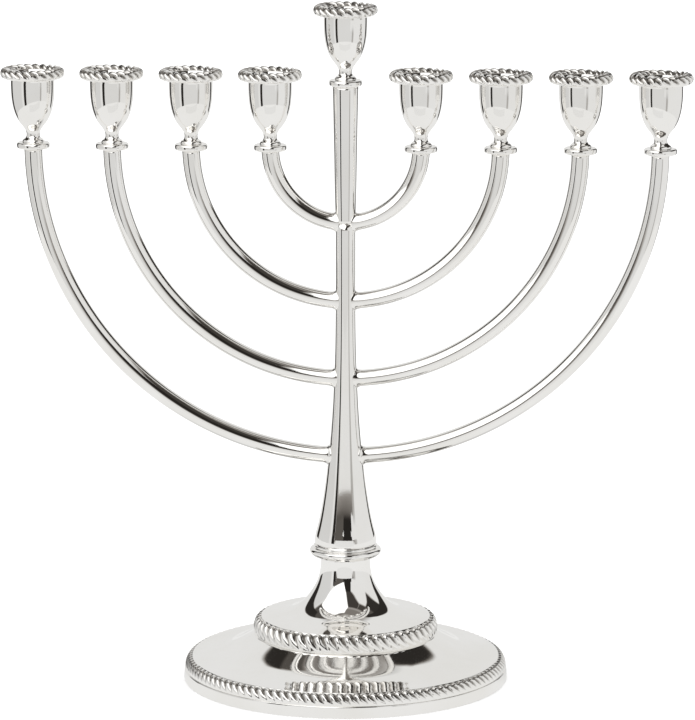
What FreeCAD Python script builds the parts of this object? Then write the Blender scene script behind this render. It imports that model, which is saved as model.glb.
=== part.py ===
import FreeCAD, Part
import math
import os

# Nine-light menorah in polished silver plate.  Millimetres, +Z up.
# Origin: centre of the face that the foot stands on.  X runs along the row of
# candle cups, -Y is the front, and the stem's axis is Z.

os.makedirs("parts", exist_ok=True)

V = FreeCAD.Vector
UP = V(0, 0, 1)
ORIGIN = V(0, 0, 0)
SIDES = {"left": -1, "right": 1}

# --- Driving dimensions -----------------------------------------------------

# Arms: concentric quarter circles about one centre on the stem's axis
ARMS_PER_SIDE = 4
FIRST_ARM_RADIUS = 30.8
ARM_STEP = 32.45            # from one arm's radius to the next
ARM_CENTRE_Z = 222.3        # also the mid height of the outer drip pans
ARM_ROOT_R = 3.42           # half thickness where an arm leaves the stem
ARM_TIP_R = 3.72            # half thickness under the drip pan
CENTRE_PAN_Z = 249.2        # mid height of the centre (helper) light's drip pan

# Candle cups, heights above the middle of the drip pan under them
PAN_R = 6.8
PAN_HALF = 1.3
PAN_EDGE_R = 1.1
SOCKET_R = 5.75             # for candles of about 10 to 11 mm
SOCKET_FLOOR = 12.0
SOCKET_TOP = 25.0
CUP_RIM = 30.3
CUP_RIM_R = 9.3
CUP_MOUTH_R = 8.3
ROPE_R = 10.85              # rope rim: ring radius and half thickness
ROPE_HALF = 2.3
ROPE_Z = 29.8

# Threaded studs that hold cup, pan and arm together
STUD_R = 1.5
STUD_LOW = -5.6
STUD_HIGH = 5.2
STUD_GAP = 0.05             # radial clearance round a stud or the tie rod
STUD_END_GAP = 0.2

# Stem
STEM_BOTTOM = 56.8
STEM_JOINT = 191.5          # hidden inside the joint of the innermost arms
STEM_BOTTOM_R = 12.75
STEM_NARROW_R = 4.1
STEM_TOP_R = 5.35

# Collar between stem and foot
COLLAR_BOTTOM = 51.3
COLLAR_WIDEST_Z = 54.0
BEAD_BOTTOM = 55.5
COLLAR_R = 14.85
BEAD_R = 13.2
BEAD_ROUND = 0.5            # how far the bead's round edge bulges

# Foot: upper tier with the bell, lower tier, plain band
NECK_R = 10.2
DECK_Z = 19.1               # flat deck that carries the upper tier
DECK_R = 37.3
UPPER_PLATE_R = 35.0
UPPER_PLATE_Z = 26.35       # height of the upper plate at its edge
UPPER_RING_R = 38.2         # widest place of the upper border
UPPER_RING_FOOT_R = 37.9
LOWER_PLATE_R = 63.6
LOWER_PLATE_Z = 9.65        # height of the lower plate at its edge
LOWER_RING_R = 66.65
LOWER_RING_FOOT_R = 66.5
BAND_TOP = 4.8
BAND_R = 67.1
BAND_INNER_R = 65.6
BAND_EDGE = 0.4             # small slope at the band's top edge
WEB_BOTTOM = 3.6
WEB_INNER_R = 58.5
SHEET = 1.2                 # wall of the spun shells
BOARD_BOTTOM = 1.6          # closing board above, felt below

# Tie rod that clamps stem, collar and foot together
ROD_R = 2.5
ROD_BOTTOM = 10.7
ROD_TOP = 96.0
WASHER_R = 8.0
WASHER_THICK = 1.2
NUT_FLATS = 8.0
NUT_THICK = 4.0


# --- Helpers -----------------------------------------------------------------

def point(r, z):
    return V(r, 0, z)


def smooth(points):
    """Edge of a smooth curve through (radius, height) points."""
    curve = Part.BSplineCurve()
    curve.interpolate([point(r, z) for r, z in points])
    return curve.toShape()


def lines(points):
    """Straight edges through (radius, height) points."""
    pairs = zip(points, points[1:])
    return [Part.LineSegment(point(*a), point(*b)).toShape() for a, b in pairs]


def turned(edges):
    """Solid of revolution about Z from a closed outline."""
    face = Part.Face(Part.Wire(edges))
    return face.revolve(ORIGIN, UP, 360)


def disc(radius, bottom, top, hole=0.0):
    body = Part.makeCylinder(radius, top - bottom, V(0, 0, bottom))
    if hole > 0:
        body = body.cut(Part.makeCylinder(hole, top - bottom, V(0, 0, bottom)))
    return body


def write(shape, name):
    """Write one node and say what it measures."""
    if not shape.isValid():
        print("INVALID", name)
    shape.exportStep("parts/" + name + ".step")
    print(name, len(shape.Solids), round(shape.Volume, 1))


# --- Foot --------------------------------------------------------------------

def foot_band():
    """Plain band that the menorah stands on, with a web that carries the lower tier."""
    outline = [(WEB_INNER_R, WEB_BOTTOM), (BAND_INNER_R, WEB_BOTTOM), (BAND_INNER_R, 0)]
    outline += [(BAND_R, 0), (BAND_R - BAND_EDGE / 2, BAND_TOP - BAND_EDGE), (BAND_R - BAND_EDGE, BAND_TOP)]
    outline += [(WEB_INNER_R, BAND_TOP), (WEB_INNER_R, WEB_BOTTOM)]
    return turned(lines(outline))


def closing_board():
    return disc(BAND_INNER_R - 0.2, BOARD_BOTTOM, WEB_BOTTOM)


def felt_pad():
    return disc(BAND_INNER_R - 0.6, 0, BOARD_BOTTOM)


def shifted(points, dr, dz):
    return [(r + dr, z + dz) for r, z in points]


LOWER_FLARE = [
    (LOWER_PLATE_R, LOWER_PLATE_Z), (61.0, 9.93), (58.0, 10.32), (55.0, 10.78), (52.0, 11.4),
    (50.0, 12.0), (47.0, 13.38), (43.0, 15.64), (DECK_R, DECK_Z)
]

UPPER_FLARE = [
    (UPPER_PLATE_R, UPPER_PLATE_Z), (28.0, 27.2), (24.0, 28.2), (20.3, 30.05), (16.5, 33.4), (13.9, 37.0),
    (11.7, 41.2), (NECK_R + 0.25, 46.3), (NECK_R, COLLAR_BOTTOM)
]


def lower_base_shell():
    """Spun lower tier: edge, hollow-curved plate and the flat deck."""
    inside = shifted(LOWER_FLARE, -SHEET / 3, -SHEET)
    inside[0] = (LOWER_PLATE_R - SHEET, LOWER_PLATE_Z - SHEET)
    hole = ROD_R + 2 * STUD_GAP
    edges = lines([(LOWER_PLATE_R - SHEET, BAND_TOP), (LOWER_PLATE_R, BAND_TOP), LOWER_FLARE[0]])
    edges.append(smooth(LOWER_FLARE))
    edges += lines([LOWER_FLARE[-1], (hole, DECK_Z), (hole, DECK_Z - SHEET), inside[-1]])
    edges.append(smooth(inside[::-1]))
    edges += lines([inside[0], (LOWER_PLATE_R - SHEET, BAND_TOP)])
    return turned(edges)


def upper_base_shell():
    """Spun upper tier: turned-down edge, plate and the bell that rises to the neck."""
    inside = shifted(UPPER_FLARE, -SHEET * 0.8, -SHEET)
    inside[0] = (UPPER_PLATE_R - SHEET, UPPER_PLATE_Z - SHEET)
    inside[-1] = (NECK_R - SHEET, COLLAR_BOTTOM - SHEET)
    inside[-2] = (NECK_R - SHEET + 0.2, 45.5)
    hole = ROD_R + 2 * STUD_GAP
    edges = lines([(UPPER_PLATE_R - SHEET, DECK_Z), (UPPER_PLATE_R, DECK_Z), UPPER_FLARE[0]])
    edges.append(smooth(UPPER_FLARE))
    edges += lines([UPPER_FLARE[-1], (hole, COLLAR_BOTTOM), (hole, COLLAR_BOTTOM - SHEET), inside[-1]])
    edges.append(smooth(inside[::-1]))
    edges += lines([inside[0], (UPPER_PLATE_R - SHEET, DECK_Z)])
    return turned(edges)


def ovolo(plate_r, plate_z, side, foot_r, bottom):
    """Border with a rounded outside, from the plate's edge down to its own foot."""
    edges = lines([(foot_r, bottom), (plate_r, bottom), (plate_r, plate_z)])
    edges.append(smooth([(plate_r, plate_z)] + side + [(foot_r, bottom)]))
    return turned(edges)


def lower_gadroon_ring():
    side = [(64.85, 9.3), (65.95, 8.15), (LOWER_RING_R, 6.3)]
    return ovolo(LOWER_PLATE_R, LOWER_PLATE_Z, side, LOWER_RING_FOOT_R, BAND_TOP)


def upper_gadroon_ring():
    side = [(36.45, 25.85), (37.6, 24.5), (UPPER_RING_R, 22.0)]
    return ovolo(UPPER_PLATE_R, UPPER_PLATE_Z, side, UPPER_RING_FOOT_R, DECK_Z)


# --- Collar and stem ------------------------------------------------------------

def collar_ring():
    bore = ROD_R + STUD_GAP
    side = [(NECK_R + 0.2, COLLAR_BOTTOM), (12.9, 51.9), (14.3, 52.9), (COLLAR_R, COLLAR_WIDEST_Z)]
    side += [(14.5, 54.95), (13.4, BEAD_BOTTOM)]
    edges = lines([(bore, COLLAR_BOTTOM), side[0]])
    edges.append(smooth(side))
    edges += lines([side[-1], (bore, BEAD_BOTTOM), (bore, COLLAR_BOTTOM)])
    return turned(edges)


def collar_bead():
    bore = ROD_R + STUD_GAP
    start = point(BEAD_R - BEAD_ROUND, BEAD_BOTTOM)
    middle = point(BEAD_R, (BEAD_BOTTOM + STEM_BOTTOM) / 2)
    end = point(BEAD_R - BEAD_ROUND, STEM_BOTTOM)
    edges = lines([(bore, BEAD_BOTTOM), (BEAD_R - BEAD_ROUND, BEAD_BOTTOM)])
    edges.append(Part.Arc(start, middle, end).toShape())
    edges += lines([(BEAD_R - BEAD_ROUND, STEM_BOTTOM), (bore, STEM_BOTTOM), (bore, BEAD_BOTTOM)])
    return turned(edges)


def stem_lower_outside():
    """Trumpet that narrows to a straight shaft, without its bore."""
    side = [(STEM_BOTTOM_R, STEM_BOTTOM), (12.6, 60.3), (11.9, 63.2), (10.75, 68.0), (9.65, 74.0)]
    side += [(8.65, 80.5), (7.55, 89.5), (6.3, 102.0), (5.4, 114.0), (4.8, 126.0), (4.35, 139.0)]
    side.append((STEM_NARROW_R, 158.0))
    edges = lines([(0, STEM_BOTTOM), side[0]])
    edges.append(smooth(side))
    edges += lines([side[-1], (STEM_NARROW_R, STEM_JOINT), (0, STEM_JOINT), (0, STEM_BOTTOM)])
    return turned(edges)


def stem_upper_outside():
    """Shaft of the centre light, widening upwards, without its bore."""
    top = CENTRE_PAN_Z - PAN_HALF
    side = [(STEM_NARROW_R, STEM_JOINT), (4.4, 201.0), (4.75, 219.0), (STEM_TOP_R, top)]
    edges = lines([(0, STEM_JOINT), side[0]])
    edges.append(smooth(side))
    edges += lines([side[-1], (0, top), (0, STEM_JOINT)])
    return turned(edges)


def rod_hole(bottom, top):
    return Part.makeCylinder(ROD_R + STUD_GAP, top - bottom, V(0, 0, bottom))


def tie_rod():
    return Part.makeCylinder(ROD_R, ROD_TOP - ROD_BOTTOM, V(0, 0, ROD_BOTTOM))


def tie_washer():
    top = DECK_Z - SHEET
    return disc(WASHER_R, top - WASHER_THICK, top, ROD_R + 2 * STUD_GAP)


def tie_nut():
    """Hexagon nut on the rod's threaded end."""
    top = DECK_Z - SHEET - WASHER_THICK
    corner = NUT_FLATS / 2 / math.cos(math.pi / 6)
    angles = [math.radians(60 * k) for k in range(7)]
    ring = [V(corner * math.cos(a), corner * math.sin(a), top - NUT_THICK) for a in angles]
    body = Part.Face(Part.makePolygon(ring)).extrude(V(0, 0, NUT_THICK))
    return body.cut(Part.makeCylinder(ROD_R, NUT_THICK, V(0, 0, top - NUT_THICK)))


# --- Arms ----------------------------------------------------------------------

def arm_radius(index):
    return FIRST_ARM_RADIUS + (index - 1) * ARM_STEP


def arm(side, index, stem):
    """Quarter-circle arm, coped to the stem and squared off under its drip pan."""
    radius = arm_radius(index)
    root = V(0, 0, ARM_CENTRE_Z - radius)
    tip = V(side * radius, 0, ARM_CENTRE_Z)
    middle = V(side * radius * math.sin(math.pi / 4), 0, ARM_CENTRE_Z - radius * math.cos(math.pi / 4))
    spine = Part.Wire([Part.Arc(root, middle, tip).toShape()])
    sweep = Part.BRepOffsetAPI.MakePipeShell(spine)
    sweep.add(Part.Wire([Part.Circle(root, V(side, 0, 0), ARM_ROOT_R).toShape()]))
    sweep.add(Part.Wire([Part.Circle(tip, UP, ARM_TIP_R).toShape()]))
    sweep.build()
    sweep.makeSolid()
    body = sweep.shape().cut(stem)
    above = Part.makeBox(40, 40, 40, V(side * radius - 20, -20, ARM_CENTRE_Z - PAN_HALF))
    body = body.cut(above)
    return body.cut(stud_hole(side * radius, ARM_CENTRE_Z)).Solids[0]


# --- Candle cups --------------------------------------------------------------------

def moved(shape, x, z):
    shape.translate(V(x, 0, z))
    return shape


def stud(x, z):
    return moved(Part.makeCylinder(STUD_R, STUD_HIGH - STUD_LOW, V(0, 0, STUD_LOW)), x, z)


def stud_hole(x, z):
    low = STUD_LOW - STUD_END_GAP
    high = STUD_HIGH + STUD_END_GAP
    return moved(Part.makeCylinder(STUD_R + STUD_GAP, high - low, V(0, 0, low)), x, z)


def drip_pan(x, z):
    """Round collar with a rounded edge under each cup."""
    body = Part.makeCylinder(PAN_R, 2 * PAN_HALF, V(0, 0, -PAN_HALF))
    body = body.makeFillet(PAN_EDGE_R, body.Edges[0:1] + body.Edges[2:3])
    return moved(body, x, z).cut(stud_hole(x, z))


def cup(x, z):
    """Tulip-shaped cup on a short foot, with a candle socket in it."""
    foot = [(4.5, PAN_HALF), (4.2, 2.3), (3.0, 3.3), (2.72, 4.4)]
    bowl = [(3.1, 6.1), (4.6, 8.35), (6.0, 10.3), (7.3, 13.0), (8.25, 16.4), (8.8, 20.5), (9.0, 26.8)]
    edges = lines([(0, PAN_HALF), foot[0]])
    edges.append(smooth(foot + bowl))
    edges += lines([bowl[-1], (CUP_RIM_R, 27.9), (CUP_RIM_R, CUP_RIM), (CUP_MOUTH_R, CUP_RIM)])
    edges += lines([(CUP_MOUTH_R, CUP_RIM), (SOCKET_R, SOCKET_TOP), (SOCKET_R, SOCKET_FLOOR)])
    edges += lines([(SOCKET_R, SOCKET_FLOOR), (0, SOCKET_FLOOR), (0, PAN_HALF)])
    return moved(turned(edges), x, z).cut(stud_hole(x, z))


def rope_rim(x, z):
    """Rope ring soldered round the cup's mouth."""
    ring = Part.makeTorus(ROPE_R, ROPE_HALF, V(0, 0, ROPE_Z))
    ring = ring.cut(Part.makeCylinder(CUP_RIM_R, CUP_RIM - 20, V(0, 0, 20)))
    return moved(ring, x, z)


def lights():
    """Name, x and drip pan height of each of the nine lights."""
    places = [("centre", 0.0, CENTRE_PAN_Z)]
    for name, side in SIDES.items():
        for index in range(1, ARMS_PER_SIDE + 1):
            places.append((name + "_" + str(index), side * arm_radius(index), ARM_CENTRE_Z))
    return places


# --- Assembly ------------------------------------------------------------------------

def main():
    write(foot_band(), "foot_band")
    write(closing_board(), "closing_board")
    write(felt_pad(), "felt_pad")
    write(lower_base_shell(), "lower_base_shell")
    write(lower_gadroon_ring(), "lower_gadroon_ring")
    write(upper_base_shell(), "upper_base_shell")
    write(upper_gadroon_ring(), "upper_gadroon_ring")
    write(collar_ring(), "collar_ring")
    write(collar_bead(), "collar_bead")
    write(tie_rod(), "tie_rod")
    write(tie_washer(), "tie_washer")
    write(tie_nut(), "tie_nut")

    trumpet = stem_lower_outside()
    shaft = stem_upper_outside()
    write(trumpet.cut(rod_hole(STEM_BOTTOM, ROD_TOP + STUD_END_GAP)), "stem_lower")
    write(shaft.cut(stud_hole(0, CENTRE_PAN_Z)), "stem_upper")

    stem = trumpet.fuse(shaft)
    for name, side in SIDES.items():
        for index in range(1, ARMS_PER_SIDE + 1):
            write(arm(side, index, stem), "arm_" + name + "_" + str(index))

    for name, x, z in lights():
        write(drip_pan(x, z), "drip_pan_" + name)
        write(cup(x, z), "cup_" + name)
        write(rope_rim(x, z), "rope_rim_" + name)
    write(Part.makeCompound([stud(x, z) for _, x, z in lights()]), "cup_studs")


main()
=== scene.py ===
import math

import bpy
import numpy as np
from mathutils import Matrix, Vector


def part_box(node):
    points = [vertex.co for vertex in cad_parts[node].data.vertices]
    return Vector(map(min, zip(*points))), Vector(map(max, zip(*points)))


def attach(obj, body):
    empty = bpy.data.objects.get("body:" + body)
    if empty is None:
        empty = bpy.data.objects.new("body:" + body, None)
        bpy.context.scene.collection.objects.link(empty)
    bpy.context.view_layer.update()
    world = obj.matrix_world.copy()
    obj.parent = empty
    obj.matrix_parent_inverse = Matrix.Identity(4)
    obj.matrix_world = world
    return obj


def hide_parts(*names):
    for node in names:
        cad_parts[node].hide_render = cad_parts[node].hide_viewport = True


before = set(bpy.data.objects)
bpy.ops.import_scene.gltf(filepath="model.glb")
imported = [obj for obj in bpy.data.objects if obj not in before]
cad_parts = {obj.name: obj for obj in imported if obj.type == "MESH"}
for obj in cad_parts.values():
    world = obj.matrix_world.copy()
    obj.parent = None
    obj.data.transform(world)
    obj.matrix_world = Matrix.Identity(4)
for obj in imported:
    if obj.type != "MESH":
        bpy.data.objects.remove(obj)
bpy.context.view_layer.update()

# Looks of a nine-light silver-plated menorah.  The places of the lights, the top of the
# stem and the outer sizes of band, felt, pans, cups and rims are read from the packed
# frame, and the other outlines repeat the CAD's dimensions.  Outlines are in
# millimetres, meshes are in metres.

MM = 0.001
SIDES = {"left": -1, "right": 1}
ARMS_PER_SIDE = 4
LIGHTS = ["centre"] + [f"{side}_{k}" for side in SIDES for k in range(1, ARMS_PER_SIDE + 1)]


# --- Places read from the frame ----------------------------------------------

def low(node):
    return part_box(node)[0] / MM


def high(node):
    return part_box(node)[1] / MM


def light_place(light):
    """Axis x and drip pan mid height of one light, in millimetres."""
    node = "drip_pan_" + light
    middle = (low(node) + high(node)) / 2
    return middle.x, middle.z


# --- Curves ---------------------------------------------------------------------

def natural_spline(knots, values, at):
    """Natural cubic spline through values at knots, sampled at the places at."""
    knots = np.asarray(knots, float)
    values = np.asarray(values, float)
    gap = np.diff(knots)
    count = len(knots)
    system = np.eye(count)
    right = np.zeros(count)
    for i in range(1, count - 1):
        system[i, i - 1] = gap[i - 1]
        system[i, i] = 2 * (gap[i - 1] + gap[i])
        system[i, i + 1] = gap[i]
        rise = (values[i + 1] - values[i]) / gap[i] - (values[i] - values[i - 1]) / gap[i - 1]
        right[i] = 6 * rise
    bend = np.linalg.solve(system, right)
    cell = np.clip(np.searchsorted(knots, at, side="right") - 1, 0, count - 2)
    before = at - knots[cell]
    after = knots[cell + 1] - at
    h = gap[cell]
    cubic = (bend[cell] * after ** 3 + bend[cell + 1] * before ** 3) / (6 * h)
    start = (values[cell] / h - bend[cell] * h / 6) * after
    end = (values[cell + 1] / h - bend[cell + 1] * h / 6) * before
    return cubic + start + end


def smooth(points, step=0.5):
    """Smooth curve through given (radius, height) points, about step mm apart."""
    points = np.asarray(points, float)
    chord = np.r_[0, np.cumsum(np.hypot(*np.diff(points, axis=0).T))]
    at = np.linspace(0, chord[-1], max(3, int(chord[-1] / step) + 1))
    columns = [natural_spline(chord, points[:, k], at) for k in (0, 1)]
    return list(zip(*columns))


def corner(a, b, c, radius, steps=5):
    """Rounded corner at b between a and c: a short quadratic curve."""
    a, b, c = (np.asarray(p, float) for p in (a, b, c))
    start = b + (a - b) / np.linalg.norm(a - b) * radius
    end = b + (c - b) / np.linalg.norm(c - b) * radius
    out = []
    for t in np.linspace(0, 1, steps):
        out.append(tuple((1 - t) ** 2 * start + 2 * t * (1 - t) * b + t * t * end))
    return out


def rounded(points, radius):
    """Closed outline with every corner a little rounded, as real edges are."""
    out = []
    count = len(points)
    for i, here in enumerate(points):
        before = points[i - 1]
        after = points[(i + 1) % count]
        short = min(math.dist(before, here), math.dist(here, after)) * 0.45
        out += corner(before, here, after, min(radius, short))
    return out


# --- Meshes ------------------------------------------------------------------------

def make_piece(name, points, faces, stands_for, material, cut=None):
    """Mesh piece from millimetre points, riding on the body, in place of CAD nodes.
    cut says, for each point, how deep in a groove it lies: 0 outside, 1 at the bottom.
    """
    mesh = bpy.data.meshes.new(name)
    mesh.from_pydata((np.asarray(points) * MM).tolist(), [], faces)
    mesh.polygons.foreach_set("use_smooth", [True] * len(mesh.polygons))
    mesh.update()
    if cut is not None:
        depths = mesh.attributes.new("cut", "FLOAT", "POINT")
        depths.data.foreach_set("value", np.asarray(cut, np.float32).ravel())
    piece = bpy.data.objects.new(name, mesh)
    bpy.context.scene.collection.objects.link(piece)
    piece.data.materials.append(material)
    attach(piece, "root")
    for node in stands_for:
        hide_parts(node)
    return piece


def ring_faces(rows, columns, close_rows):
    """Quads of a grid that is closed round its columns, and round its rows if asked."""
    faces = []
    last = rows if close_rows else rows - 1
    for i in range(last):
        for j in range(columns):
            a = i * columns + j
            b = i * columns + (j + 1) % columns
            c = ((i + 1) % rows) * columns + (j + 1) % columns
            d = ((i + 1) % rows) * columns + j
            faces.append((a, b, c, d))
    return faces


def lathe(outline, segments, x=0.0, z=0.0):
    """Points and faces of a turned solid from a closed outline that stays off the axis."""
    turn = np.linspace(0, 2 * math.pi, segments, endpoint=False)
    outline = np.asarray(outline, float)
    radius = outline[:, 0][:, None]
    height = np.repeat(outline[:, 1][:, None], segments, axis=1)
    points = np.stack([x + radius * np.cos(turn), radius * np.sin(turn), z + height], axis=-1)
    return points.reshape(-1, 3), ring_faces(len(outline), segments, True)


def lathe_to_axis(outline, segments, x=0.0, z=0.0):
    """The same for an open outline whose first and last points lie on the axis."""
    inner = outline[1:-1]
    points, _ = lathe(inner, segments, x, z)
    faces = ring_faces(len(inner), segments, False)
    start = len(points)
    points = np.vstack([points, [x, 0, z + outline[0][1]], [x, 0, z + outline[-1][1]]])
    last = (len(inner) - 1) * segments
    for j in range(segments):
        k = (j + 1) % segments
        faces.append((start, k, j))
        faces.append((start + 1, last + j, last + k))
    return points, faces


# --- Foot ------------------------------------------------------------------------------

FOOT_SEGMENTS = 360
SHEET = 1.2                  # wall of the spun shells
ROD_HOLE = 2.6
BAND_TOP = 4.8
BAND_INNER = 65.6
WEB_INNER = 58.5
WEB_BOTTOM = 3.6
NECK_TOP = 51.3              # where the bell meets the collar
NECK_INSIDE = 9.0            # radius of the hollow inside the neck
DECK = (37.3, 19.1)          # flat deck under the upper tier, as (radius, height)
LOWER_EDGE = (63.6, 9.65)    # edge of the lower plate
UPPER_EDGE = (35.0, 26.35)   # edge of the upper plate

LOWER_FLARE = [
    LOWER_EDGE, (61.0, 9.93), (58.0, 10.32), (55.0, 10.78), (52.0, 11.4), (50.0, 12.0),
    (47.0, 13.38), (43.0, 15.64), DECK
]
UPPER_FLARE = [
    UPPER_EDGE, (28.0, 27.2), (24.0, 28.2), (20.3, 30.05), (16.5, 33.4), (13.9, 37.0),
    (11.7, 41.2), (10.45, 46.3), (10.2, NECK_TOP)
]
LOWER_BORDER = [LOWER_EDGE, (64.85, 9.3), (65.95, 8.15), (66.65, 6.3), (66.5, BAND_TOP)]
UPPER_BORDER = [UPPER_EDGE, (36.45, 25.85), (37.6, 24.5), (38.2, 22.0), (37.9, DECK[1])]
BORDER_BACK = 1.5            # the back of a border lies this far inside its foot
LOBE_COLUMNS = 14            # mesh columns across one lobe


def shifted(points, dr, dz):
    return [(r + dr, z + dz) for r, z in points]


def turned_piece(name, outline, segments, nodes, material, x=0.0, z=0.0):
    """Turned piece from a closed outline, or from an open one that starts and ends on the axis."""
    on_axis = outline[0][0] == 0 and outline[-1][0] == 0
    points, faces = (lathe_to_axis if on_axis else lathe)(outline, segments, x, z)
    return make_piece(name, points, faces, nodes, material)


def foot_band(material):
    outer = high("foot_band").x
    outline = [(WEB_INNER, WEB_BOTTOM), (BAND_INNER, WEB_BOTTOM), (BAND_INNER, 0), (outer, 0)]
    outline += [(outer - 0.2, BAND_TOP - 0.4), (outer - 0.4, BAND_TOP), (WEB_INNER, BAND_TOP)]
    outline = rounded(outline, 0.25)
    turned_piece("foot_band_skirt", outline, FOOT_SEGMENTS, ["foot_band"], material)


def lower_tier(material):
    edge_r, edge_z = LOWER_EDGE
    deck_z = DECK[1]
    inside = shifted(LOWER_FLARE, -SHEET / 3, -SHEET)
    inside[0] = (edge_r - SHEET, edge_z - SHEET)
    outline = [(edge_r - SHEET, BAND_TOP), (edge_r, BAND_TOP)] + smooth(LOWER_FLARE)
    outline += [(ROD_HOLE, deck_z), (ROD_HOLE, deck_z - SHEET)] + smooth(inside[::-1])
    turned_piece("lower_tier_shell", outline, FOOT_SEGMENTS, ["lower_base_shell"], material)


def upper_tier(material):
    edge_r, edge_z = UPPER_EDGE
    deck_z = DECK[1]
    inside = shifted(UPPER_FLARE, -SHEET * 0.8, -SHEET)
    inside[0] = (edge_r - SHEET, edge_z - SHEET)
    inside[-2:] = [(9.2, 45.5), (NECK_INSIDE, NECK_TOP - SHEET)]
    outline = [(edge_r - SHEET, deck_z), (edge_r, deck_z)] + smooth(UPPER_FLARE, 0.35)
    outline += [(ROD_HOLE, NECK_TOP), (ROD_HOLE, NECK_TOP - SHEET)] + smooth(inside[::-1])
    turned_piece("upper_tier_bell", outline, FOOT_SEGMENTS, ["upper_base_shell"], material)


def gadroon_ring(name, section, lobes, slant, relief, lip, node, material):
    """Border cut into round-headed lobes that lean over as they run down to a plain lip."""
    curve = np.array(smooth(section, 0.2))
    along = np.r_[0, np.cumsum(np.hypot(*np.diff(curve, axis=0).T))]
    share = along / along[-1]
    tangent = np.gradient(curve, axis=0)
    tangent /= np.linalg.norm(tangent, axis=1)[:, None]
    inward = np.stack([tangent[:, 1], -tangent[:, 0]], axis=1)
    fade_in = np.clip(0.25 + along / 0.6, 0, 1)
    fade_out = np.clip((along[-1] - lip - along) / (0.45 * along[-1]), 0, 1) ** 0.8
    depth = relief * fade_in * fade_out
    width = 0.6 + 0.5 * (1 - share) + 1.2 * np.exp(-along / 0.5)
    pitches, power = slant
    segments = lobes * LOBE_COLUMNS
    turn = np.linspace(0, 2 * math.pi, segments, endpoint=False)
    phase = lobes * turn[None, :] - (2 * math.pi * pitches * share ** power)[:, None]
    groove = 1 - np.abs(np.cos(phase / 2)) ** width[:, None]
    sunk = depth[:, None] * groove
    radius = curve[:, 0][:, None] + inward[:, 0][:, None] * sunk
    height = curve[:, 1][:, None] + inward[:, 1][:, None] * sunk
    cut = sunk / relief
    for r, z in [(section[-1][0] - BORDER_BACK, section[-1][1]), (section[0][0], section[-1][1])]:
        radius = np.vstack([radius, np.full(segments, r)])
        height = np.vstack([height, np.full(segments, z)])
        cut = np.vstack([cut, np.zeros(segments)])
    points = np.stack([radius * np.cos(turn), radius * np.sin(turn), height], axis=-1)
    faces = ring_faces(len(radius), segments, True)
    make_piece(name, points.reshape(-1, 3), faces, [node], material, cut)


def gadroon_rings(material):
    gadroon_ring("lower_gadroons", LOWER_BORDER, 118, (1.2, 1.5), 0.85, 0.5, "lower_gadroon_ring", material)
    gadroon_ring("upper_gadroons", UPPER_BORDER, 55, (1.05, 2.0), 1.35, 0.9, "upper_gadroon_ring", material)


def felt(material):
    """Felt disc: slightly uneven underneath, with a soft cut edge."""
    outer = high("felt_pad").x
    top = high("felt_pad").z
    radii = np.linspace(0, outer - 0.6, 40)
    under = [(r, 0.0) for r in radii] + [(outer - 0.2, 0.25), (outer, 0.7)]
    outline = under + [(outer - 0.1, top - 0.1), (outer - 0.4, top), (0, top)]
    points, faces = lathe_to_axis(outline, 144)
    low_side = points[:, 2] < 0.2
    x = points[:, 0]
    y = points[:, 1]
    wave = np.sin(x * 0.9 + 1.3) * np.sin(y * 0.7) + np.sin(x * 2.3 + y * 1.9)
    points[low_side, 2] += 0.06 + 0.03 * wave[low_side]
    make_piece("felt_underside", points, faces, ["felt_pad"], material)


# --- Collar and stem -----------------------------------------------------------------------

BORE = 2.55
BEAD_BOTTOM = 55.5
STEM_BOTTOM = 56.8
JOINT_Z = 191.5
SHAFT = 4.1                  # radius of the straight part of the stem
SHAFT_FLARE = [(4.4, 201.0), (4.75, 219.0)]
SHAFT_TOP = 5.35
SHAFT_END = 248.0            # where stem_radius ends, just above the shaft
BEAD_CENTRE = 12.7           # the bead bulges BEAD_ROUND beyond this radius
BEAD_ROUND = 0.5

TRUMPET = [
    (12.75, STEM_BOTTOM), (12.6, 60.3), (11.9, 63.2), (10.75, 68.0), (9.65, 74.0), (8.65, 80.5),
    (7.55, 89.5), (6.3, 102.0), (5.4, 114.0), (4.8, 126.0), (4.35, 139.0), (SHAFT, 158.0)
]


def collar(material):
    side = [(10.4, NECK_TOP), (12.9, 51.9), (14.3, 52.9), (14.85, 54.0), (14.5, 54.95), (13.4, BEAD_BOTTOM)]
    outline = [(BORE, NECK_TOP)] + smooth(side, 0.3) + [(BORE, BEAD_BOTTOM)]
    turned_piece("collar_torus", outline, 240, ["collar_ring"], material)
    middle = (BEAD_BOTTOM + STEM_BOTTOM) / 2
    half = (STEM_BOTTOM - BEAD_BOTTOM) / 2
    angles = np.linspace(-1.5, 1.5, 13)
    arc = [(BEAD_CENTRE + BEAD_ROUND * math.cos(a), middle + half * math.sin(a)) for a in angles]
    outline = [(BORE, BEAD_BOTTOM)] + arc + [(BORE, STEM_BOTTOM)]
    turned_piece("collar_thin_bead", outline, 240, ["collar_bead"], material)


def stem(material):
    straight = [(SHAFT, z) for z in np.linspace(160, JOINT_Z, 12)]
    outline = [(0, STEM_BOTTOM)] + smooth(TRUMPET, 1.2) + straight + [(0, JOINT_Z)]
    turned_piece("stem_trumpet", outline, 160, ["stem_lower"], material)
    top = high("stem_upper").z
    side = [(SHAFT, JOINT_Z)] + SHAFT_FLARE + [(SHAFT_TOP, top)]
    outline = [(0, JOINT_Z)] + smooth(side, 1.2) + [(0, top)]
    turned_piece("stem_shaft", outline, 160, ["stem_upper"], material)


def stem_radius(z):
    """Radius of the stem at a height, for the arms' solder joints."""
    outline = TRUMPET + [(SHAFT, JOINT_Z)] + SHAFT_FLARE + [(SHAFT_TOP, SHAFT_END)]
    radii, heights = zip(*outline)
    return np.interp(z, heights, radii)


# --- Arms ------------------------------------------------------------------------------------

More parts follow.
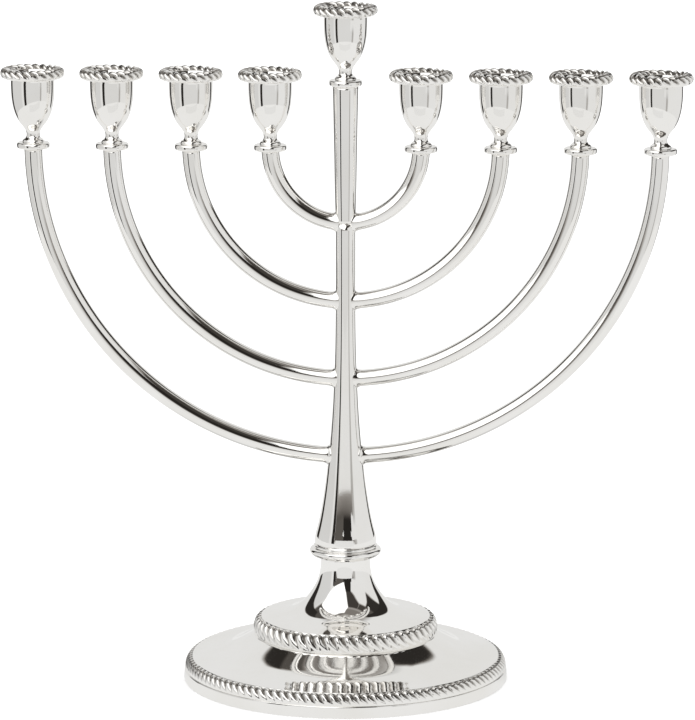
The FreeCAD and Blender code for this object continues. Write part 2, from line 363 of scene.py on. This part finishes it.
ARM_ROOT = 3.42
ARM_TIP = 3.72
ARM_SIDES = 56
ROOT_DEPTH = 1.6             # how far an arm reaches into the stem
FINE_LENGTH = 5              # length at the root that has the finer rings
FINE_RINGS = 26
FILLET_SWELL = 0.85
FILLET_REACH = 0.75


def arm(side_name, index, material):
    """Bent round arm with a small solder fillet where it meets the stem."""
    light = f"{side_name}_{index}"
    x_tip, z_centre = light_place(light)
    pan_half = (high("drip_pan_" + light).z - low("drip_pan_" + light).z) / 2
    radius = abs(x_tip)
    side = SIDES[side_name]
    root_z = z_centre - radius
    inside = stem_radius(root_z) - ROOT_DEPTH
    first = math.asin(inside / radius)
    last = math.acos(pan_half / radius)
    near = np.linspace(0, FINE_LENGTH / radius, FINE_RINGS)
    rest = np.linspace(FINE_LENGTH / radius, last - first, max(40, int(radius * 1.1)))[1:]
    bend = first + np.r_[near, rest]
    turn = np.linspace(0, 2 * math.pi, ARM_SIDES, endpoint=False)
    thick = ARM_ROOT + (ARM_TIP - ARM_ROOT) * (bend / last)
    outward = np.stack([side * np.sin(bend), 0 * bend, -np.cos(bend)], axis=1)
    centre = np.array([0, 0, z_centre]) + radius * outward
    across = np.array([0, 1.0, 0])
    ring = np.cos(turn)[None, :, None] * outward[:, None, :] + np.sin(turn)[None, :, None] * across
    points = centre[:, None, :] + thick[:, None, None] * ring
    gap = np.hypot(points[..., 0], points[..., 1]) - stem_radius(points[..., 2])
    upright = ring[..., 2] ** 2
    room = np.clip((stem_radius(root_z) - ARM_ROOT - 0.9) / 2, 0, 1)
    swell = FILLET_SWELL * np.exp(-np.clip(gap, 0, None) / FILLET_REACH) * (upright + (1 - upright) * room)
    points = points + swell[..., None] * ring
    count = len(bend)
    flat = points.reshape(-1, 3)
    faces = ring_faces(count, ARM_SIDES, False)
    faces.append(tuple(range(ARM_SIDES))[::-1])
    faces.append(tuple((count - 1) * ARM_SIDES + j for j in range(ARM_SIDES)))
    if side > 0:
        faces = [f[::-1] for f in faces]
    make_piece("bent_arm_" + light, flat, faces, ["arm_" + light], material)


# --- Lights: drip pan, cup and rope rim -----------------------------------------------------------

PAN_HALF = 1.3               # half the height of a drip pan
STUD_HOLE = 1.55
CUP_FOOT = [(4.5, PAN_HALF), (4.2, 2.3), (3.0, 3.3), (2.72, 4.4)]
CUP_BOWL = [(3.1, 6.1), (4.6, 8.35), (6.0, 10.3), (7.3, 13.0), (8.25, 16.4), (8.8, 20.5), (9.0, 26.8)]
CUP_LIP = 27.9               # where the bowl's side turns into the lip
CUP_MOUTH = 8.3              # radius of the cone's upper end
SOCKET = 5.75
SOCKET_TOP = 25
SOCKET_FLOOR = 12
ROPE_STRANDS = 3
ROPE_LOBES = 21
ROPE_RELIEF = 1.25


def drip_pan(light, material):
    x, z = light_place(light)
    outer = high("drip_pan_" + light).x - x
    outline = rounded(
        [(STUD_HOLE, -PAN_HALF), (outer, -PAN_HALF), (outer, PAN_HALF), (STUD_HOLE, PAN_HALF)], 1.05)
    turned_piece("pan_" + light, outline, 96, ["drip_pan_" + light], material, x, z)


def cup(light, material):
    x, z = light_place(light)
    rim = high("cup_" + light).z - z
    outer = high("cup_" + light).x - x
    mouth = (CUP_MOUTH, rim)
    cone_end = (SOCKET, SOCKET_TOP)
    lip = corner((outer, CUP_LIP), (outer, rim), mouth, 0.3) + corner((outer, rim), mouth, cone_end, 0.3)
    inside = corner(mouth, cone_end, (SOCKET, 20), 0.5) + [(SOCKET, 18), (SOCKET, 15)]
    inside += corner((SOCKET, 15), (SOCKET, SOCKET_FLOOR), (0, SOCKET_FLOOR), 0.6)
    inside += [(3, SOCKET_FLOOR), (0, SOCKET_FLOOR)]
    outline = [(0, PAN_HALF)] + smooth(CUP_FOOT + CUP_BOWL, 0.3) + [(outer, CUP_LIP)] + lip + inside
    turned_piece("tulip_" + light, outline, 128, ["cup_" + light], material, x, z)


def rope_rim(light, material):
    """Twisted rope bent into a ring: a lobed round section that turns as it goes round.
    Its strands are deep above and nearly worn away below."""
    x, z = light_place(light)
    node = "rope_rim_" + light
    half = (high(node).z - low(node).z) / 2
    height = (high(node).z + low(node).z) / 2
    ring_radius = high(node).x - x - half
    segments = ROPE_LOBES * LOBE_COLUMNS
    sides = 36
    turn = np.linspace(0, 2 * math.pi, segments, endpoint=False)[None, :]
    round_section = np.linspace(0, 2 * math.pi, sides, endpoint=False)[:, None]
    phase = ROPE_STRANDS * round_section + ROPE_LOBES * turn
    worn = np.clip((np.sin(round_section) + 0.75) / 0.6, 0.15, 1)
    cut = worn * (1 - np.abs(np.cos(phase / 2)))
    thick = half - ROPE_RELIEF * cut
    radius = ring_radius + thick * np.cos(round_section)
    up = height + thick * np.sin(round_section)
    points = np.stack([x + radius * np.cos(turn), radius * np.sin(turn), up], axis=-1)
    make_piece("twisted_rope_" + light, points.reshape(-1, 3), ring_faces(sides, segments, True),
               [node], material, cut)


# --- Materials -------------------------------------------------------------------------------------

class Nodes:
    """A material's node tree, with short calls for the nodes used here."""

    def __init__(self, name):
        self.material = bpy.data.materials.new(name)
        self.material.use_nodes = True
        self.tree = self.material.node_tree
        self.tree.nodes.clear()
        self.shader = self.tree.nodes.new("ShaderNodeBsdfPrincipled")
        output = self.tree.nodes.new("ShaderNodeOutputMaterial")
        self.link(self.shader.outputs["BSDF"], output.inputs["Surface"])
        self.place = self.tree.nodes.new("ShaderNodeTexCoord").outputs["Object"]

    def link(self, out, into):
        self.tree.links.new(out, into)

    def noise(self, scale, detail=3.0, roughness=0.55, stretch=(1, 1, 1), where=None):
        node = self.tree.nodes.new("ShaderNodeTexNoise")
        node.inputs["Scale"].default_value = scale
        node.inputs["Detail"].default_value = detail
        node.inputs["Roughness"].default_value = roughness
        place = where or self.place
        if stretch != (1, 1, 1):
            mapping = self.tree.nodes.new("ShaderNodeMapping")
            mapping.inputs["Scale"].default_value = stretch
            self.link(place, mapping.inputs["Vector"])
            place = mapping.outputs["Vector"]
        self.link(place, node.inputs["Vector"])
        return node.outputs["Fac"]

    def span(self, value, from_low, from_high, to_low, to_high):
        node = self.tree.nodes.new("ShaderNodeMapRange")
        node.inputs["From Min"].default_value = from_low
        node.inputs["From Max"].default_value = from_high
        node.inputs["To Min"].default_value = to_low
        node.inputs["To Max"].default_value = to_high
        self.link(value, node.inputs["Value"])
        return node.outputs["Result"]

    def math(self, operation, a, b):
        node = self.tree.nodes.new("ShaderNodeMath")
        node.operation = operation
        for socket, value in zip(node.inputs, (a, b)):
            if isinstance(value, (int, float)):
                socket.default_value = value
            else:
                self.link(value, socket)
        return node.outputs["Value"]

    def blend(self, share, first, second):
        node = self.tree.nodes.new("ShaderNodeMix")
        node.data_type = "RGBA"
        self.link(share, node.inputs["Factor"])
        for socket, value in ((node.inputs[6], first), (node.inputs[7], second)):
            if isinstance(value, tuple):
                socket.default_value = (*value, 1)
            else:
                self.link(value, socket)
        return node.outputs[2]

    def bump(self, height, strength, distance, under=None):
        node = self.tree.nodes.new("ShaderNodeBump")
        node.inputs["Strength"].default_value = strength
        node.inputs["Distance"].default_value = distance
        self.link(height, node.inputs["Height"])
        if under:
            self.link(under, node.inputs["Normal"])
        return node.outputs["Normal"]

    def grooves(self, low_end, high_end):
        """1 at the bottom of the cut grooves, 0 on the lobes between them."""
        cut = self.tree.nodes.new("ShaderNodeAttribute")
        cut.attribute_name = "cut"
        return self.span(cut.outputs["Fac"], low_end, high_end, 0, 1)

    def set(self, **sockets):
        for name, value in sockets.items():
            socket = self.shader.inputs[name.replace("_", " ")]
            if isinstance(value, tuple):
                socket.default_value = (*value, 1)
            elif isinstance(value, (int, float)):
                socket.default_value = value
            else:
                self.link(value, socket)


SILVER_LIGHT = (0.975, 0.965, 0.95)
SILVER_DEEP = (0.93, 0.915, 0.885)
# Dark brown blended into the bottoms of the cast grooves: tarnish and painted shade.
TARNISH_AND_PAINTED_SHADE = (0.16, 0.14, 0.12)


def silver(name, ripple=0.0, grain=(1, 1, 1), grooves=None, satin=0.0):
    """Polished silver plate: cloudy tone, fine wiping marks, faint waviness, and grooves made duller and
    darker by tarnish and painted shade.
    """
    m = Nodes(name)
    cloud = m.noise(28, 4, 0.6)
    colour = m.blend(m.span(cloud, 0.35, 0.7, 0, 1), SILVER_LIGHT, SILVER_DEEP)
    marks = m.noise(900, 4, 0.7, grain)
    smear = m.noise(55, 3, 0.5)
    fine = m.span(marks, 0.35, 0.8, 0.018 + satin, 0.05 + satin)
    roughness = m.math("ADD", fine, m.span(smear, 0.4, 0.75, 0, 0.03))
    if grooves:
        # Grooves get rougher and darker; the darkening is tarnish and painted shade.
        tarnish_and_shade = m.grooves(*grooves)
        colour = m.blend(m.math("MULTIPLY", tarnish_and_shade, 0.85), colour, TARNISH_AND_PAINTED_SHADE)
        roughness = m.math("ADD", roughness, m.math("MULTIPLY", tarnish_and_shade, 0.16))
    waves = m.bump(m.noise(70, 2, 0.5), ripple, 0.0006)
    scratches = m.bump(m.noise(2600, 2, 0.6, grain), 0.03, 0.00004, waves)
    m.set(Base_Color=colour, Metallic=1.0, Roughness=roughness, Normal=scratches)
    return m.material


def steel(name):
    m = Nodes(name)
    marks = m.noise(1400, 4, 0.6, (1, 1, 0.08))
    colour = m.blend(m.noise(60, 3), (0.62, 0.60, 0.56), (0.48, 0.46, 0.43))
    m.set(Base_Color=colour, Metallic=1.0, Roughness=m.span(marks, 0.3, 0.8, 0.28, 0.45),
          Normal=m.bump(marks, 0.15, 0.0001))
    return m.material


def board(name):
    """Grey pressed board: short fibres and a little mottling."""
    m = Nodes(name)
    fibres = m.noise(700, 5, 0.7, (1, 0.35, 1))
    colour = m.blend(m.noise(240, 4, 0.65), (0.40, 0.35, 0.28), (0.27, 0.23, 0.18))
    m.set(Base_Color=colour, Roughness=m.span(fibres, 0.3, 0.7, 0.8, 0.95),
          Normal=m.bump(fibres, 0.4, 0.0002))
    return m.material


def felt_cloth(name):
    """Pressed wool felt: tangled fibres in two directions, mottled dark blue."""
    m = Nodes(name)
    one = m.noise(1500, 5, 0.75, (1, 0.25, 1))
    other = m.noise(1500, 5, 0.75, (0.25, 1, 1))
    fibres = m.math("MAXIMUM", one, other)
    mottle = m.noise(90, 4, 0.6)
    tone = m.math("MULTIPLY", m.span(fibres, 0.4, 0.75, 0.3, 1), m.span(mottle, 0.3, 0.7, 0.6, 1))
    colour = m.blend(tone, (0.008, 0.013, 0.035), (0.035, 0.055, 0.13))
    m.set(Base_Color=colour, Roughness=m.span(fibres, 0.4, 0.7, 0.98, 0.85), Sheen_Weight=0.35,
          Sheen_Roughness=0.5, Normal=m.bump(fibres, 0.7, 0.0003))
    return m.material


# --- Floor, light and reflected surroundings ----------------------------------------------------------

TENT_CENTRE = 0.12
TENT_RADIUS = 0.6
ROOM_RADIUS = 3.0
TENT_COLUMNS = 720
TENT_ROWS = 240


def stage_mesh(name, points, faces, material):
    mesh = bpy.data.meshes.new(name)
    mesh.from_pydata([tuple(p) for p in points], [], faces)
    mesh.polygons.foreach_set("use_smooth", [True] * len(mesh.polygons))
    obj = bpy.data.objects.new(name, mesh)
    bpy.context.scene.collection.objects.link(obj)
    mesh.materials.append(material)
    return obj


def floor():
    m = Nodes("floor_white_paper")
    grain = m.noise(40, 3)
    m.set(Base_Color=m.blend(grain, (0.86, 0.86, 0.86), (0.89, 0.89, 0.89)), Roughness=0.9,
          Specular_IOR_Level=0.1)
    size = 12
    corners = [(-size, -size, 0), (size, -size, 0), (size, size, 0), (-size, size, 0)]
    stage_mesh("floor", corners, [(0, 1, 2, 3)], m.material).visible_glossy = False


def reflected_only(name, points, faces, glow):
    """Part of the surroundings that shows in reflections and nowhere else."""
    m = Nodes(name)
    m.tree.nodes.remove(m.shader)
    light = m.tree.nodes.new("ShaderNodeEmission")
    level = m.tree.nodes.new("ShaderNodeAttribute")
    level.attribute_name = "glow"
    warmth = m.blend(m.span(level.outputs["Fac"], 0.05, 0.6, 0, 1), (1, 0.9, 0.8), (1, 1, 0.99))
    m.link(warmth, light.inputs["Color"])
    m.link(level.outputs["Fac"], light.inputs["Strength"])
    m.link(light.outputs["Emission"], m.tree.nodes["Material Output"].inputs["Surface"])
    obj = stage_mesh(name, points, faces, m.material)
    attribute = obj.data.attributes.new("glow", "FLOAT", "POINT")
    attribute.data.foreach_set("value", np.asarray(glow, np.float32).ravel())
    obj.visible_camera = False
    obj.visible_diffuse = False
    obj.visible_transmission = False
    obj.visible_volume_scatter = False
    obj.visible_shadow = False


# Panels are (brightness, edge softness in degrees, corners).  A corner is an azimuth, 0 in
# front and positive to the right, and a height angle, both in degrees.  A later panel
# covers an earlier one.
TENT_LEVEL = 0.78
PANELS = [
    (0.20, 16, [(-180, 60), (180, 60), (180, 90), (-180, 90)]),  # ceiling
    (0.66, 6, [(-118, -20), (-60, -20), (-60, 34), (-118, 34)]),  # left wall
    (0.08, 4, [(-138, 38), (-86, 36), (-86, 62), (-138, 62)]),  # dark above the left wall
    (0.025, 2, [(-134, -20), (-118, -20), (-112, 48), (-138, 48)]),  # gap at the back left
    (0.09, 5, [(86, 40), (142, 40), (134, 64), (86, 64)]),  # dark above the right wall
    (0.03, 3, [(87, 25), (142, 22), (142, 48), (87, 48)]),  # open top of the right wall
    (0.025, 2, [(137, -20), (149, -20), (148, 28), (137, 60), (120, 60)]),  # gap at the back right
    (1.35, 3, [(-88, 39), (-6, 6), (16, 62), (-5, 79), (-86, 76)]),  # big soft box, left of the camera
    (0.05, 4, [(4, 32), (24, 32), (60, 47), (60, 62), (16, 62)]),  # dark cloth, high
    (0.06, 4, [(60, 47), (88, 47), (88, 62), (60, 62)]),
    (0.02, 1, [(-50, -20), (-38.5, -20), (-38.5, 14), (-50, 19)]),  # dark strip beside the opening
    (0.42, 5, [(37, -20), (47, -20), (47, 3), (37, 3)]),  # grey strip on its other side
]
OPENINGS = [
    [(-38.5, -12), (38, -12), (38, 1.5), (-38.5, 1.5)],  # in front, over the table
    [(-38.5, 1.4), (29, 1.4), (29, 9), (-38.5, 9)],  # in front, where the camera stands
    [(-4, 8), (26, 8), (26, 34), (4, 34)],
    [(-46, 8), (-4, 8), (-4, 10), (-46, 20)],  # below the soft box
]
ROOM_LEVEL = 0.02
ROOM = [
    (0.70, 12, [(-180, -90), (180, -90), (180, 1.5), (-180, 1.5)]),  # pale floor and low furniture
    (0.10, 3, [(-46, 6), (-5, 6), (-5, 25), (-46, 25)]),  # grey wall
]
CARD_HALF = 0.2
CARD_Y = -0.3
CARD_TOP = 0.096
TABLE_LEVEL = 0.84
TABLE_SHADE_AT_FOOT = 0.02            # painted shade: how much darker the table is round the foot
TABLE_SHADE_BEHIND = 0.25          # and the painted shade behind it
FOOT_EDGE = 0.066
WORLD_LEVEL = 1.6


def inside_panel(azimuth, rise, corners, soft):
    """1 inside a convex panel, 0 outside, with an edge soft degrees wide."""
    share = np.ones(azimuth.shape)
    for (a, b), (c, d) in zip(corners, corners[1:] + corners[:1]):
        inside = ((c - a) * (rise - b) - (d - b) * (azimuth - a)) / math.hypot(c - a, d - b)
        share *= np.clip(inside / soft + 0.5, 0, 1)
    return share


def surround(name, radius, level, panels, openings):
    """Sphere round the piece with panels painted on it and openings cut in it."""
    azimuth = np.linspace(-180, 180, TENT_COLUMNS, endpoint=False)[None, :]
    rise = np.linspace(-89.5, 89.5, TENT_ROWS)[:, None]
    azimuth, rise = azimuth + 0 * rise, rise + 0 * azimuth
    glow = np.full(azimuth.shape, level)
    for brightness, soft, corners in panels:
        share = inside_panel(azimuth, rise, corners, soft)
        glow = glow * (1 - share) + brightness * share
    opened = np.zeros(azimuth.shape)
    for corners in openings:
        opened = np.maximum(opened, inside_panel(azimuth, rise, corners, 0.01))
    opened = opened.ravel() > 0.5
    faces = [f for f in ring_faces(TENT_ROWS, TENT_COLUMNS, False) if not opened[f[0]]]
    turn = np.radians(azimuth)
    lift = np.radians(rise)
    points = np.stack([np.sin(turn) * np.cos(lift), -np.cos(turn) * np.cos(lift), np.sin(lift)], axis=-1)
    points = points * radius + np.array([0, 0, TENT_CENTRE])
    reflected_only(name, points.reshape(-1, 3), faces, glow)


def surroundings():
    """Light cloth round the piece, with openings to a dark room, and a pale card in front."""
    surround("studio_tent", TENT_RADIUS, TENT_LEVEL, PANELS, OPENINGS)
    surround("studio_room", ROOM_RADIUS, ROOM_LEVEL, ROOM, [])
    card = [(x, CARD_Y, z) for x, z in ((-1, 0), (1, 0), (1, 1), (-1, 1))]
    card = [(x * CARD_HALF, y, z * CARD_TOP) for x, y, z in card]
    reflected_only("studio_card", card, [(0, 1, 2, 3)], [TENT_LEVEL] * 4)


def table_top():
    """The white table as the silver sees it, with painted shade making it a little grey near the foot and
    behind it.
    """
    turn = np.linspace(0, 2 * math.pi, 96, endpoint=False)
    radius = np.linspace(0.002, TENT_RADIUS, 120)[:, None]
    x = radius * np.cos(turn)
    y = radius * np.sin(turn)
    # Painted shade: the table is darkened round the foot and behind it.
    near = np.clip(1 - (radius - FOOT_EDGE) / 0.05, 0, 1) * np.ones_like(x)
    painted_shade_behind = np.clip(y / 0.05 + 0.2, 0, 1) * np.clip((0.16 - radius) / 0.06, 0, 1)
    glow = TABLE_LEVEL - TABLE_SHADE_AT_FOOT * near - TABLE_SHADE_BEHIND * painted_shade_behind
    points = np.stack([x, y, np.full_like(x, 0.0002)], axis=-1)
    faces = ring_faces(len(radius), len(turn), False)
    reflected_only("table_in_reflections", points.reshape(-1, 3), faces, glow)


def studio():
    scene = bpy.context.scene
    world = bpy.data.worlds.new("white_studio")
    world.use_nodes = True
    world.node_tree.nodes["Background"].inputs["Color"].default_value = (1, 1, 1, 1)
    world.node_tree.nodes["Background"].inputs["Strength"].default_value = WORLD_LEVEL
    scene.world = world
    scene.view_settings.view_transform = "Standard"


CAMERA_AZIMUTH = 3.94        # degrees to the right of the front
CAMERA_RISE = 11.27          # degrees above the horizon
CAMERA_DISTANCE = 2.0
CAMERA_AIM = 0.1342          # height it looks at
CAMERA_LENS = 243.1
CAMERA_SHIFT = 1 / 360       # of the picture's longer side


def camera():
    """Long lens, two metres away, a little above the piece and to its right."""
    azimuth = math.radians(CAMERA_AZIMUTH)
    elevation = math.radians(CAMERA_RISE)
    aim = Vector((0, 0, CAMERA_AIM))
    away = Vector((
        math.sin(azimuth) * math.cos(elevation),
        -math.cos(azimuth) * math.cos(elevation),
        math.sin(elevation),
    ))
    data = bpy.data.cameras.new("camera")
    data.lens = CAMERA_LENS
    data.shift_x = CAMERA_SHIFT
    cam = bpy.data.objects.new("camera", data)
    cam.location = aim + CAMERA_DISTANCE * away
    cam.rotation_euler = (-away).to_track_quat("-Z", "Y").to_euler()
    bpy.context.scene.collection.objects.link(cam)
    bpy.context.scene.camera = cam


# --- Everything in place -------------------------------------------------------------------------------

spun = silver("silver_plate_spun", 0.02, (1, 1, 6))
cast = silver("silver_plate_cast", 0.05, grooves=(0.2, 0.75), satin=0.03)
turned = silver("silver_plate_turned", 0.02, (1, 1, 6))
drawn = silver("silver_plate_drawn_rod", 0.06, (1, 1, 1))
raised = silver("silver_plate_cups", 0.03, (1, 1, 6))

foot_band(spun)
lower_tier(spun)
upper_tier(spun)
gadroon_rings(cast)
felt(felt_cloth("felt_dark_blue"))
collar(turned)
stem(turned)
for side in SIDES:
    for k in range(1, ARMS_PER_SIDE + 1):
        arm(side, k, drawn)
for light in LIGHTS:
    drip_pan(light, turned)
    cup(light, raised)
    rope_rim(light, cast)

hidden_steel = steel("steel_zinc_plated")
for node in ("tie_rod", "tie_washer", "tie_nut", "cup_studs"):
    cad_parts[node].data.materials.clear()
    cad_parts[node].data.materials.append(hidden_steel)
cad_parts["closing_board"].data.materials.clear()
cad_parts["closing_board"].data.materials.append(board("grey_board"))

floor()
surroundings()
table_top()
studio()
camera()
